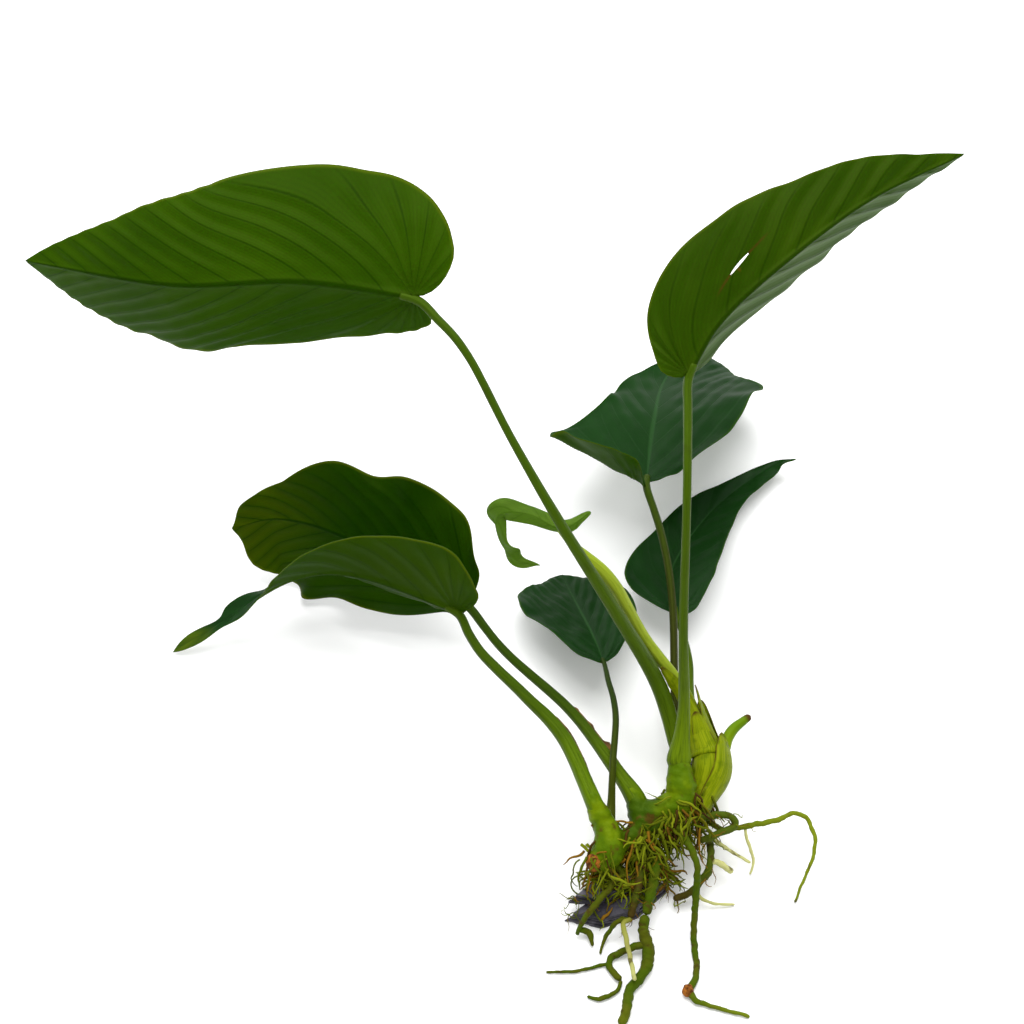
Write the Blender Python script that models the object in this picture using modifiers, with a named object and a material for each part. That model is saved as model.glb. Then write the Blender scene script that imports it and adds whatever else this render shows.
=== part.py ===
"""A loose Anubias barteri plant with its slate, lying on its side on a level surface.

Lengths are in millimetres until they reach a mesh. X runs along the ground to the plant's
right, Y along its direction of growth, Z up, and the ground is z = 0.
"""
import math

import bmesh
import bpy
import numpy as np
from mathutils import Vector

MM = 0.001
SHIFT = (4.5, 18.1, 0.0)      # brings the middle of the plant's footprint to the origin
BLADE_THICKNESS = 0.8
BLADE_ROWS = 16               # cells from the stalk to the tip
BLADE_CELLS = 8               # cells across, margin to margin
VEIN_SWEEP = 1.35             # how far the side veins lean towards the tip
CURVE_STEPS = 24
TAIL_FROM = 0.55              # where a drawn-out tip leaves the broad part, as a share of the length
BROAD_TO = 0.66               # where the broad part of such a blade would end by itself
LOBE_BEND = 3.0               # width of the soft bend under a lobe that stands up
MARGIN_STEPS = 10             # points along the lobe's inner edge; longer stretches take more
LOBE_SHARE = 0.4              # a lobe's furthest point back is at most this share of the width out
SHOULDER = 0.75               # roundness of the turn from a lobe into the margin


def unit(v):
    v = np.asarray(v, float)
    return v / np.maximum(np.linalg.norm(v, axis=-1, keepdims=True), 1e-9)


def ease(x, low, high):
    """0 below low, 1 above high, and smooth between."""
    x = np.clip((np.asarray(x, float) - low) / (high - low), 0, 1)
    return x * x * (3 - 2 * x)


def smooth(points, count, length_axes=3):
    """A curve through the points, resampled to evenly spaced ones, and its length."""
    p = np.array(points, float)
    p = np.vstack([2 * p[0] - p[1], p, 2 * p[-1] - p[-2]])
    t = np.linspace(0, 1, CURVE_STEPS, endpoint=False)[:, None]
    fine = []
    for i in range(1, len(p) - 2):
        a, b, c, d = p[i - 1:i + 3]
        fine.append(0.5 * (2 * b + (c - a) * t + (2 * a - 5 * b + 4 * c - d) * t ** 2
                           + (3 * b - a - 3 * c + d) * t ** 3))
    fine = np.vstack([*fine, p[-2]])
    step = np.linalg.norm(np.diff(fine[:, :length_axes], axis=0), axis=1)
    run = np.concatenate([[0], np.cumsum(step)])
    even = np.linspace(0, run[-1], count)
    return np.stack([np.interp(even, run, q) for q in fine.T], axis=1), run[-1]


def margin(length, lobe, width, widest, back, front, tail=0.0):
    """One half's outline from the stalk round its basal lobe to the tip, as (along, across).

    lobe: how far it reaches back past the stalk. width: its greatest half width, at the share
    widest of the length. back, front: how full it is towards the stalk and towards the tip.
    tail: half width of a drawn-out tip.
    """
    inner = min(LOBE_SHARE * width, 0.1 * width + 1.2 * lobe)
    belly = widest * length
    turn = np.linspace(0, math.pi / 2, MARGIN_STEPS, endpoint=False)
    sinus = np.stack([-lobe * np.sin(turn), inner * (1 - np.cos(turn))], axis=1)
    y = np.linspace(1, 0, 2 * MARGIN_STEPS, endpoint=False)
    shoulder = np.stack([belly - (belly + lobe) * y,
                         inner + (width - inner) * (1 - y ** back) ** SHOULDER], axis=1)
    a = np.linspace(belly, length, 3 * MARGIN_STEPS)
    reach = length * (BROAD_TO if tail else 1)
    c = width * (1 - np.clip((a - belly) / (reach - belly), 0, 1) ** front)
    drawn = np.clip((a / length - TAIL_FROM) / (1 - TAIL_FROM), 0, 1)
    c = np.maximum(c, tail * np.sin(math.pi * drawn ** 0.8) ** 0.6)
    c[-1] = 0
    return np.vstack([sinus, shoulder, np.stack([a, c], axis=1)])


class Blade:
    """A leaf blade: a flat outline bent over its midrib.

    midrib: points from the stalk to the tip. face: the direction its upper side looks in at
    each of them. bend: fold at the midrib and further curl out to the margin, in degrees, on
    the left half and then on the right. left, right: each half's dimensions, as margin takes
    them. raised: a left basal lobe that stands up, as the slope of the line it turns on and
    its angle.
    """

    def __init__(self, midrib, face, bend, left, right, raised=None):
        self.raised = raised
        face = face * len(midrib) if len(face) == 1 else face
        line, self.length = smooth([(*p, *unit(f)) for p, f in zip(midrib, face)], 80)
        self.line = line[:, :3]
        self.along = np.linspace(0, self.length, len(line))
        self.way = unit(np.gradient(self.line, axis=0))
        lean = (line[:, 3:] * self.way).sum(1)[:, None]
        self.up = unit(line[:, 3:] - lean * self.way)
        self.bend = {1: bend[:2], -1: bend[2:]}
        self.edge = {side: smooth(margin(self.length, *half), 60, 2)[0]
                     for side, half in ((1, left), (-1, right))}

    def read(self, table, a):
        return np.stack([np.interp(a, self.along, q) for q in table.T], axis=-1)

    def half(self, s, t, side):
        """Points of one half for arrays s and t, each followed by its place (along, across)."""
        edge = self.edge[side]
        u = np.linspace(0, 1, len(edge))
        a, c = (np.interp(s, u, edge[:, i]) for i in (0, 1))
        start = self.length * s ** VEIN_SWEEP
        a = start + (a - start) * np.abs(t) ** 1.2
        c = c * np.abs(t)
        rise = 0.0 * a
        if self.raised and side == 1:
            a, c, rise = self.stand(a, c)
        k = np.clip(a, 0, self.length)
        way, up = unit(self.read(self.way, k)), unit(self.read(self.up, k))
        fold, curl = self.bend[side]
        bow = (np.arange(8) + 0.5) / 8 * (c / edge[:, 1].max())[..., None]
        angle = np.radians(fold + curl * bow)
        out = np.cross(up, way) * side * (np.cos(angle).mean(-1) * c)[..., None]
        rise = up * (np.sin(angle).mean(-1) * c + rise)[..., None]
        point = self.read(self.line, k) + way * (a - k)[..., None] + out + rise
        return np.concatenate([point, a[..., None], c[..., None]], axis=-1)

    def stand(self, a, c):
        """Turns up what lies beyond the raised lobe's line."""
        slope, angle = self.raised
        size = math.hypot(1, slope)
        beyond = np.maximum((slope * c - a) / size, 0)
        part = beyond[..., None] * (np.arange(8) + 0.5) / 8
        turn = math.radians(angle) * ease(part, 0, LOBE_BEND)
        back = beyond * (1 - np.cos(turn).mean(-1))
        return a + back / size, c - slope * back / size, beyond * np.sin(turn).mean(-1)

    def surface(self, s, t):
        """s runs from the stalk to the tip, t from -1 at the right margin to 1 at the left."""
        left, right = self.half(s, t, 1), self.half(s, t, -1)
        return np.where((t >= 0)[..., None], left, right)


def material(name, colour, roughness):
    mat = bpy.data.materials.new(name)
    mat.use_nodes = True
    shader = mat.node_tree.nodes["Principled BSDF"]
    shader.inputs["Base Color"].default_value = (*colour, 1)
    shader.inputs["Roughness"].default_value = roughness
    shader.inputs["Metallic"].default_value = 0.0
    return mat


def place(name, data, mat):
    ob = bpy.data.objects.new(name, data)
    data.materials.append(mat)
    parts.objects.link(ob)
    ob.parent = ground
    return ob


def mesh_of(name, bm):
    bmesh.ops.recalc_face_normals(bm, faces=bm.faces)
    me = bpy.data.meshes.new(name)
    bm.to_mesh(me)
    bm.free()
    me.shade_smooth()
    return me


def leaf(name, blade, mat):
    bm = bmesh.new()
    bmesh.ops.create_grid(bm, x_segments=BLADE_ROWS, y_segments=BLADE_CELLS, size=1)
    flat = np.array([v.co[:2] for v in bm.verts])
    bent = blade.surface((flat[:, 0] + 1) / 2, flat[:, 1])[:, :3]
    for v, point in zip(bm.verts, bent):
        v.co = Vector(point) * MM
    bmesh.ops.remove_doubles(bm, verts=bm.verts, dist=0.00002)
    ob = place(name, mesh_of(name, bm), mat)
    sheet = ob.modifiers.new("thickness", "SOLIDIFY")
    sheet.thickness = BLADE_THICKNESS * MM
    sheet.offset = 0
    return ob


def tube(name, points, radii, mat, step=4.0, sides=2):
    """A round tube on a smooth line; radii are spread over its points."""
    r = np.interp(np.linspace(0, 1, len(points)), np.linspace(0, 1, len(radii)), radii)
    rough = [(*p, q) for p, q in zip(points, r)]
    length = smooth(rough, 8)[1]
    line = smooth(rough, max(3, round(length / step) + 1))[0]
    data = bpy.data.curves.new(name, "CURVE")
    data.dimensions = "3D"
    data.bevel_depth = MM
    data.bevel_resolution = sides
    data.use_fill_caps = True
    spline = data.splines.new("POLY")
    spline.points.add(len(line) - 1)
    for point, (x, y, z, radius) in zip(spline.points, line):
        point.co = (x * MM, y * MM, z * MM, 1)
        point.radius = radius
    return place(name, data, mat)


def shard(name, outline, low, high, lean, mat):
    """A flat split of slate: its outline on the ground, raised between two heights."""
    bm = bmesh.new()
    face = bm.faces.new([bm.verts.new((x * MM, y * MM, low * MM)) for x, y in outline])
    top = bmesh.ops.extrude_face_region(bm, geom=[face])["geom"]
    centre = Vector((*np.mean(outline, axis=0), 0)) * MM
    for v in (g for g in top if isinstance(g, bmesh.types.BMVert)):
        v.co = centre + (v.co - centre) * 0.9
        v.co.z = (high + lean * (v.co.x / MM - outline[0][0])) * MM
    ob = place(name, mesh_of(name, bm), mat)
    edge = ob.modifiers.new("worn edges", "BEVEL")
    edge.width = 0.3 * MM
    edge.segments = 1
    edge.limit_method = "ANGLE"
    ob.data.set_sharp_from_angle(angle=math.radians(25))
    return ob


for old in list(bpy.data.objects):
    bpy.data.objects.remove(old, do_unlink=True)
parts = bpy.data.collections.new("anubias_on_stone")
bpy.context.scene.collection.children.link(parts)
ground = bpy.data.objects.new("ground", None)
ground.location = Vector(SHIFT) * MM
parts.objects.link(ground)

LEAF_UNDER = material("leaf underside green", (0.055, 0.13, 0.008), 0.42)
LEAF_UPPER = material("leaf upper side green", (0.01, 0.05, 0.018), 0.3)
STALK = material("stalk green", (0.08, 0.15, 0.01), 0.4)
YOUNG = material("young growth yellow-green", (0.25, 0.36, 0.02), 0.4)
ROOT = material("root green", (0.05, 0.1, 0.01), 0.6)
OLD_ROOT = material("old root brown", (0.06, 0.05, 0.012), 0.75)
PALE_ROOT = material("young root yellow", (0.35, 0.35, 0.06), 0.55)
DRY = material("dry sheath brown", (0.16, 0.09, 0.025), 0.8)
SLATE = material("slate", (0.07, 0.065, 0.09), 0.65)

# ---- leaf blades: midrib, face, bend, left half, right half ----------------------------------
UNDERSIDE_SHOWN = (0, 0.84, -0.54)
FLAT = (0, 0.2, 1)
ON_EDGE = (0, 1, 0.1)
BLADES = {
    "blade_upper_left": (LEAF_UNDER, Blade(
        [(-23, 18, 102), (-50, 20, 105), (-80, 20, 104), (-117, 36, 94)], [UNDERSIDE_SHOWN],
        (18, 30, 28, 16), (8, 29, 0.16, 3.5, 2.0), (5, 26, 0.55, 1.9, 2.2))),
    "blade_upper_right": (LEAF_UNDER, Blade(
        [(41, 3, 92), (49, 13, 100), (65, 25, 108), (85, 40, 112), (108, 54, 112)],
        [(-0.3, 0.8, -0.5)],
        (40, 8, 20, 30), (0, 17, 0.45, 2.6, 1.5), (3, 19, 0.27, 2.0, 1.4))),
    "blade_back": (LEAF_UPPER, Blade(
        [(35, 21, 24), (38, 45, 19), (42, 66, 9), (52, 84, 0.6)], [FLAT],
        (8, 6, 8, 6), (10, 26, 0.16, 2.2, 0.65), (0, 28, 0.55, 1.5, 2.4), raised=(0.4, 75))),
    "blade_narrow": (LEAF_UPPER, Blade(
        [(42, -12, 12), (42, 4, 9), (54, 26, 4), (70, 40, 4), (77, 40, 8)], [FLAT],
        (12, 8, 12, 8), (0, 12, 0.15, 2.0, 1.0), (1, 12, 0.2, 2.0, 1.5))),
    "blade_small": (LEAF_UPPER, Blade(
        [(23, -29, 16), (20, -18, 13), (13, 7, 1)], [FLAT],
        (8, 8, 8, 8), (0, 16, 0.6, 1.2, 2.2), (0, 14, 0.45, 1.6, 1.9))),
    "blade_rear_left": (LEAF_UNDER, Blade(
        [(-11, -13, 17), (-42, 5, 21), (-60, 12, 20), (-73, 11, 17)], [(0, 0.9, -0.4)],
        (10, 10, -4, 0), (0, 21, 0.2, 2.2, 2.8), (0, 20, 0.6, 1.3, 6.0))),
    "blade_front_left": (LEAF_UNDER, Blade(
        [(-14, -20, 26), (-39, -11, 28), (-56, -9, 23), (-74, -13, 10), (-88, -17, 0.8)],
        [ON_EDGE, ON_EDGE, (0, 0.85, 0.5), (0, -0.2, 1), (0, -0.2, 1)],
        (10, 10, 14, 14), (5, 20, 0.08, 2.0, 1.4, 3.0), (0, 12, 0.25, 1.6, 2.5, 3.0))),
    "blade_young": (YOUNG, Blade(
        [(19, -14, 60), (12, -17, 57.5), (4, -14, 59), (-3, -13.5, 58.5), (-3, -16, 52),
         (1, -19, 47), (7, -20, 46)], [(0, 0.6, -0.8)],
        (14, 24, 14, 24), (0, 2.6, 0.75, 5.0, 3.0), (0, 2.4, 0.75, 5.0, 3.0))),
}
for name, (mat, blade) in BLADES.items():
    leaf(name, blade, mat)

# ---- leaf stalks, foot first: points, radii --------------------------------------------------
STALKS = {
    "stalk_upper_left": (STALK, [2.0, 2.0, 1.6, 1.3, 1.0, 1.0, 1.1],
        [(42, -55, 10), (36, -40, 23), (24, -31, 45), (12, -22, 65), (0, -8, 81), (-11, 7, 95.5),
         (-21.5, 17, 101.3)]),
    "stalk_upper_right": (STALK, [2.2, 1.5, 1.1, 1.0, 1.1],
        [(40.5, -59.5, 21), (41.5, -51, 30), (40.5, -41, 52), (40.5, -23, 79), (41, 1.5, 91)]),
    "stalk_back": (STALK, [1.0],
        [(43, -50, 5.6), (41, -40, 9), (41, -13, 16), (39, 4, 20.5), (35, 19, 24)]),
    "stalk_narrow": (STALK, [1.1, 1.0, 0.8],
        [(46.3, -50, 8.4), (45, -36, 8.6), (45, -24, 9.5), (42.6, -13.6, 11.6)]),
    "stalk_small": (STALK, [0.85, 0.8, 0.6],
        [(24, -69.3, 14.8), (24.5, -60, 19), (25.5, -46, 19.5), (24, -36, 18), (23.3, -30.5, 16.4)]),
    "stalk_rear_left": (STALK, [2.0, 1.6, 1.3, 1.1, 1.1],
        [(29.5, -66.3, 15), (23, -56, 16), (14, -43, 16.5), (-1.5, -27, 17), (-10.3, -14.2, 17)]),
    "stalk_front_left": (STALK, [1.9, 1.8, 1.4, 1.2, 1.1],
        [(19.8, -70.2, 18.2), (12.5, -53.5, 21), (2.5, -43, 24), (-8, -32, 26), (-13, -21.7, 26)]),
    "stalk_young": (YOUNG, [2.2, 1.7, 1.4, 1.6, 1.4, 0.7],
        [(47, -50, 14.5), (42, -39.5, 20), (32.5, -32, 32), (24, -26, 48), (17, -21.5, 53),
         (13.2, -18.8, 55.4)]),
}
for name, (mat, radii, points) in STALKS.items():
    tube(name, points, radii, mat, step=6.0)

# ---- rhizome, split where it forks, with its growing tip and side shoot ----------------------
tube("rhizome_left", [(20, -83.5, 10.5), (23, -80, 12), (23, -76, 14), (20.4, -71.5, 17)],
     [3.0, 4.2, 3.4, 2.1], STALK, step=2.2, sides=4)
tube("rhizome_middle", [(30, -77, 11), (31.5, -72, 13), (30.6, -68.3, 14.3)],
     [2.4, 3.1, 2.2], STALK, step=2.2, sides=4)
tube("rhizome_right", [(38, -72, 13.5), (41, -68, 16), (40.6, -60.8, 20.2)],
     [2.6, 3.7, 2.2], STALK, step=2.2, sides=4)
tube("growing_tip", [(45.2, -69, 12.6), (48, -60, 14.6), (47.5, -53, 14.6)],
     [1.6, 3.9, 3.0], YOUNG, step=2.5, sides=4)
tube("side_shoot", [(52.4, -53.5, 15), (54, -49, 15.5), (59, -45, 16.5)],
     [1.3, 1.4, 0.9], YOUNG, step=3.0)

# ---- slate ---------------------------------------------------------------------------------
shard("slate_lower", [(12, -93), (21, -95), (31, -92), (39, -84), (34, -81), (22, -85)],
      0.0, 3.6, 0.01, SLATE)
shard("slate_upper", [(13, -90), (19, -91), (29, -87), (37, -82), (33, -79), (21, -83.5)],
      4.2, 6.6, 0.02, SLATE)

# ---- roots, from the stone outward: points and radii -----------------------------------------
ROOTS = {
    "root_hairpin": (OLD_ROOT, [0.9],
        [(44, -71.5, 12.5), (52, -71, 13.5), (54, -73, 12), (45.5, -76.5, 10.5)]),
    "root_long_right": (ROOT, [0.7, 0.7, 0.6, 0.5, 0.3],
        [(51, -72.5, 8.5), (63, -70, 8), (71, -67, 6.5), (74, -75, 4.5), (68.5, -88, 0.7)]),
    "root_right_spur": (PALE_ROOT, [0.4, 0.35, 0.25], [(57, -73, 7), (59, -78, 2.5), (58, -80.5, 0.6)]),
    "root_pale_right": (PALE_ROOT, [0.5, 0.35], [(50, -75.5, 8), (58, -79, 4)]),
    "root_stub_right": (PALE_ROOT, [0.8, 0.7], [(50.5, -80.5, 6.5), (53.5, -82, 4.5)]),
    "root_under_tip": (ROOT, [0.5, 0.5, 0.4], [(49, -65, 8.6), (48, -70, 8.5), (45, -72.5, 7)]),
    "root_loop": (OLD_ROOT, [0.9, 0.9, 0.8],
        [(48, -75.5, 8), (48, -81, 7), (44, -86.5, 4.5), (39, -88, 2.6)]),
    "root_front": (ROOT, [0.85, 0.85, 0.85, 0.8, 0.8, 0.9, 0.55, 0.45],
        [(40.5, -76, 15), (44, -84.5, 15), (44, -90.5, 8), (43.5, -98, 1.7), (44, -106, 1),
         (42, -112, 1.2), (46, -114.5, 0.8), (56, -117.5, 0.6)]),
    "root_fine_right": (PALE_ROOT, [0.4, 0.3], [(46, -88.3, 3), (49, -88.8, 1.5), (54, -88.6, 0.6)]),
    "root_centre": (ROOT, [1.3, 1.5, 1.3, 1.2, 1.2, 1.0],
        [(31.5, -96.3, 4.8), (32.5, -103, 1.9), (31, -107, 1.6), (28, -111, 1.5), (27, -116, 1.4),
         (25.5, -120, 1.3)]),
    "root_cream": (PALE_ROOT, [0.6, 0.6, 0.5], [(26.5, -96.5, 6.5), (28, -104, 4.8), (29, -110, 4)]),
    "root_fork": (ROOT, [0.9, 0.8, 0.8],
        [(29.2, -100.4, 2.6), (26, -101.5, 1.5), (22.8, -104, 1), (25.8, -108.4, 1)]),
    "root_fork_left": (ROOT, [0.45, 0.4, 0.3], [(21, -104.4, 0.7), (15, -106, 0.6), (8, -106, 0.5)]),
    "root_fork_low": (ROOT, [0.5, 0.6, 0.35],
        [(25.2, -110.6, 0.8), (21.5, -113, 0.9), (17.8, -112.3, 0.5)]),
    "root_stub_left": (ROOT, [0.8, 0.35], [(18.5, -96.5, 2), (19.2, -99.5, 0.5)]),
    "root_left": (ROOT, [0.6, 0.5, 0.3], [(25, -95.3, 5), (22.5, -97.5, 2), (21, -101.5, 0.5)]),
    "root_over_stone_left": (ROOT, [0.7, 0.8, 0.7, 0.5],
        [(26.5, -84, 8.4), (21, -91, 8.2), (17.5, -94.5, 5.8), (15.5, -97, 1.5)]),
    "root_over_stone_middle": (OLD_ROOT, [0.9, 1.0, 0.9],
        [(30.5, -80, 9.6), (30.5, -86, 9), (28.5, -94.3, 5)]),
    "root_over_stone_right": (ROOT, [0.8, 1.2, 1.2],
        [(34.5, -76.6, 9.4), (34.5, -84, 9.4), (32, -93.8, 6)]),
}
for name, (mat, radii, points) in ROOTS.items():
    tube(name, points, radii, mat, step=3.2, sides=1)

# ---- dry scraps of sheath --------------------------------------------------------------------
tube("dry_sheath_rear", [(17, -43, 17.5), (25, -56, 17.5), (28, -61, 17.4)], [0.3, 0.4, 0.3], DRY,
     step=5.0, sides=1)
tube("dry_sheath_front", [(12.7, -49, 22.9), (16.5, -57, 21.7), (20.4, -64.5, 20.4)],
     [0.3, 0.4, 0.3], DRY, step=5.0, sides=1)
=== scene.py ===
"""Anubias on stone: the finished look of a loose plant lying on its side.

The plant is drawn in millimetres, with X to its right, Y along its growth and Z up, as in the
part. SHIFT moves it to the row frame, and MM takes it to metres.
"""
import math
import random

import bmesh
import bpy
import numpy as np
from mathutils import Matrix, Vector, noise
from mathutils.bvhtree import BVHTree


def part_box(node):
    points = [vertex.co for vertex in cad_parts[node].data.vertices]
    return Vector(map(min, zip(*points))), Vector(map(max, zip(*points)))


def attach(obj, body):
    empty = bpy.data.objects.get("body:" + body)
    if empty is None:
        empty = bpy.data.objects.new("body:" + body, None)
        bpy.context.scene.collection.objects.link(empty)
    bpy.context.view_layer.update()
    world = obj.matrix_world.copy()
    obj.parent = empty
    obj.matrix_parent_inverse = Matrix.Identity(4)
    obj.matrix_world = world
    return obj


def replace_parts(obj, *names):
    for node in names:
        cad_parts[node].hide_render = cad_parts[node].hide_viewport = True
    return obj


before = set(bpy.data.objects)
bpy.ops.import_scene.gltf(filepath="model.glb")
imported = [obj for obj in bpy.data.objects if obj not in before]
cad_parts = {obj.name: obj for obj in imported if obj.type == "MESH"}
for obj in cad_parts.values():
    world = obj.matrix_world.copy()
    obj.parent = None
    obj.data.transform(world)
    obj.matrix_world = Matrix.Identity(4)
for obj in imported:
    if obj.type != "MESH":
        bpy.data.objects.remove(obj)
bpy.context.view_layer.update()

MM = 0.001
SHIFT = np.array([4.5, 18.1, 0.0])
ROW_SWEEP = 1.35              # above 1, a blade's rows start nearer the stalk than they end
LEAF_THICKNESS = 0.45
MARGIN_THICKNESS = 0.2
LEAF_ROWS, LEAF_CELLS = 120, 72
FLOOR_GAP = 0.12              # clearance kept by everything that nears the ground
CURVE_STEPS = 24              # points drawn between two given ones
LINE_STEPS = 100              # how finely a line is searched for a place on it
MIDRIB_POINTS, EDGE_POINTS = 80, 60
SLICES = (np.arange(8) + 0.5) / 8   # middles of the strips that a blade's bend is summed over
SWELL_REACH = 7.0             # how far up a stalk the swelling of its foot fades
TAIL_FROM = 0.55              # share of the length where a drawn-out tip leaves the broad part
BROAD_TO = 0.66               # where the broad part of such a blade would end by itself
LOBE_BEND = 3.0               # width of the soft bend under a lobe that stands up
MARGIN_STEPS = 10             # points along the lobe's inner edge; longer stretches take more
LOBE_SHARE = 0.4              # a lobe's furthest point back is at most this share of the width out
SHOULDER = 0.75               # roundness of the turn from a lobe into the margin
RIM_ANGLE = math.radians(75)  # a packed tube's end face meets its side at more than this
random.seed(7)


# ---- curves and surfaces ----
def unit(v):
    v = np.asarray(v, float)
    return v / np.maximum(np.linalg.norm(v, axis=-1, keepdims=True), 1e-9)


def ease(x, low, high):
    """0 below low, 1 above high, and smooth between."""
    x = np.clip((np.asarray(x, float) - low) / (high - low), 0, 1)
    return x * x * (3 - 2 * x)


def run_along(line):
    """How far along a line each of its points is."""
    return np.concatenate([[0], np.cumsum(np.linalg.norm(np.diff(line, axis=0), axis=1))])


def smooth(points, count, length_axes=3):
    """A curve through the points, resampled to evenly spaced ones, and its length."""
    p = np.array(points, float)
    p = np.vstack([2 * p[0] - p[1], p, 2 * p[-1] - p[-2]])
    t = np.linspace(0, 1, CURVE_STEPS, endpoint=False)[:, None]
    fine = []
    for i in range(1, len(p) - 2):
        a, b, c, d = p[i - 1:i + 3]
        fine.append(0.5 * (2 * b + (c - a) * t + (2 * a - 5 * b + 4 * c - d) * t ** 2
                           + (3 * b - a - 3 * c + d) * t ** 3))
    fine = np.vstack([*fine, p[-2]])
    run = run_along(fine[:, :length_axes])
    even = np.linspace(0, run[-1], count)
    return np.stack([np.interp(even, run, q) for q in fine.T], axis=1), run[-1]


def margin(length, lobe, width, widest, back, front, tail=0.0):
    """One half's outline from the stalk round its basal lobe to the tip, as (along, across).

    lobe: how far it reaches back past the stalk. width: its greatest half width, at the share
    widest of the length. back, front: how full it is towards the stalk and towards the tip.
    tail: half width of a drawn-out tip.
    """
    inner = min(LOBE_SHARE * width, 0.1 * width + 1.2 * lobe)
    belly = widest * length
    turn = np.linspace(0, math.pi / 2, MARGIN_STEPS, endpoint=False)
    sinus = np.stack([-lobe * np.sin(turn), inner * (1 - np.cos(turn))], axis=1)
    y = np.linspace(1, 0, 2 * MARGIN_STEPS, endpoint=False)
    shoulder = np.stack([belly - (belly + lobe) * y,
                         inner + (width - inner) * (1 - y ** back) ** SHOULDER], axis=1)
    a = np.linspace(belly, length, 3 * MARGIN_STEPS)
    reach = length * (BROAD_TO if tail else 1)
    c = width * (1 - np.clip((a - belly) / (reach - belly), 0, 1) ** front)
    drawn = np.clip((a / length - TAIL_FROM) / (1 - TAIL_FROM), 0, 1)
    c = np.maximum(c, tail * np.sin(math.pi * drawn ** 0.8) ** 0.6)
    c[-1] = 0
    return np.vstack([sinus, shoulder, np.stack([a, c], axis=1)])


class Blade:
    """A leaf blade: a flat outline bent over its midrib.

    midrib: points from the stalk to the tip. face: the direction its upper side looks in at
    each of them. bend: fold at the midrib and further curl out to the margin, in degrees, on
    the left half and then on the right. left, right: each half's dimensions, as margin takes
    them. raised: a left basal lobe that stands up, as the slope of the line it turns on and
    its angle.
    """

    def __init__(self, midrib, face, bend, left, right, raised=None):
        self.raised = raised
        face = face * len(midrib) if len(face) == 1 else face
        line, self.length = smooth([(*p, *unit(f)) for p, f in zip(midrib, face)],
                                   MIDRIB_POINTS)
        self.line = line[:, :3]
        self.along = np.linspace(0, self.length, len(line))
        self.way = unit(np.gradient(self.line, axis=0))
        lean = (line[:, 3:] * self.way).sum(1)[:, None]
        self.up = unit(line[:, 3:] - lean * self.way)
        self.bend = {1: bend[:2], -1: bend[2:]}
        self.edge = {side: smooth(margin(self.length, *half), EDGE_POINTS, 2)[0]
                     for side, half in ((1, left), (-1, right))}

    def read(self, table, a):
        return np.stack([np.interp(a, self.along, q) for q in table.T], axis=-1)

    def half(self, s, t, side):
        """Points of one half for arrays s and t, each followed by its place (along, across)."""
        edge = self.edge[side]
        u = np.linspace(0, 1, len(edge))
        a, c = (np.interp(s, u, edge[:, i]) for i in (0, 1))
        start = self.length * s ** ROW_SWEEP
        a = start + (a - start) * np.abs(t) ** 1.2
        c = c * np.abs(t)
        rise = 0.0 * a
        if self.raised and side == 1:
            a, c, rise = self.stand(a, c)
        k = np.clip(a, 0, self.length)
        way, up = unit(self.read(self.way, k)), unit(self.read(self.up, k))
        fold, curl = self.bend[side]
        bow = SLICES * (c / edge[:, 1].max())[..., None]
        angle = np.radians(fold + curl * bow)
        out = np.cross(up, way) * side * (np.cos(angle).mean(-1) * c)[..., None]
        rise = up * (np.sin(angle).mean(-1) * c + rise)[..., None]
        point = self.read(self.line, k) + way * (a - k)[..., None] + out + rise
        return np.concatenate([point, a[..., None], c[..., None]], axis=-1)

    def stand(self, a, c):
        """Turns up what lies beyond the raised lobe's line."""
        slope, angle = self.raised
        size = math.hypot(1, slope)
        beyond = np.maximum((slope * c - a) / size, 0)
        part = beyond[..., None] * SLICES
        turn = math.radians(angle) * ease(part, 0, LOBE_BEND)
        back = beyond * (1 - np.cos(turn).mean(-1))
        return a + back / size, c - slope * back / size, beyond * np.sin(turn).mean(-1)

    def surface(self, s, t):
        """s runs from the stalk to the tip, t from -1 at the right margin to 1 at the left."""
        left, right = self.half(s, t, 1), self.half(s, t, -1)
        return np.where((t >= 0)[..., None], left, right)


def to_world(points):
    return (np.asarray(points, float) + SHIFT) * MM


def new_object(name, verts, faces, mats, uvs=None, face_mats=None, weld=0.000015,
               values=None):
    """A smooth mesh piece on the root body. verts are in the plant's millimetres."""
    me = bpy.data.meshes.new(name)
    me.from_pydata(to_world(verts).tolist(), [], faces)
    for mat in mats:
        me.materials.append(mat)
    if face_mats is not None:
        me.polygons.foreach_set("material_index", face_mats)
    if uvs is not None:
        layer = me.uv_layers.new(name="along_across")
        index = np.empty(len(me.loops), int)
        me.loops.foreach_get("vertex_index", index)
        layer.data.foreach_set("uv", np.asarray(uvs, np.float32)[index].ravel())
    for key, numbers in (values or {}).items():
        me.attributes.new(key, "FLOAT", "POINT").data.foreach_set("value", np.ravel(numbers))
    bm = bmesh.new()
    bm.from_mesh(me)
    if weld:
        bmesh.ops.remove_doubles(bm, verts=bm.verts, dist=weld)
        bmesh.ops.dissolve_degenerate(bm, edges=bm.edges, dist=1e-7)
    bmesh.ops.recalc_face_normals(bm, faces=bm.faces)
    bm.to_mesh(me)
    bm.free()
    me.shade_smooth()
    ob = bpy.data.objects.new(name, me)
    bpy.context.scene.collection.objects.link(ob)
    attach(ob, "root")
    return ob


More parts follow.
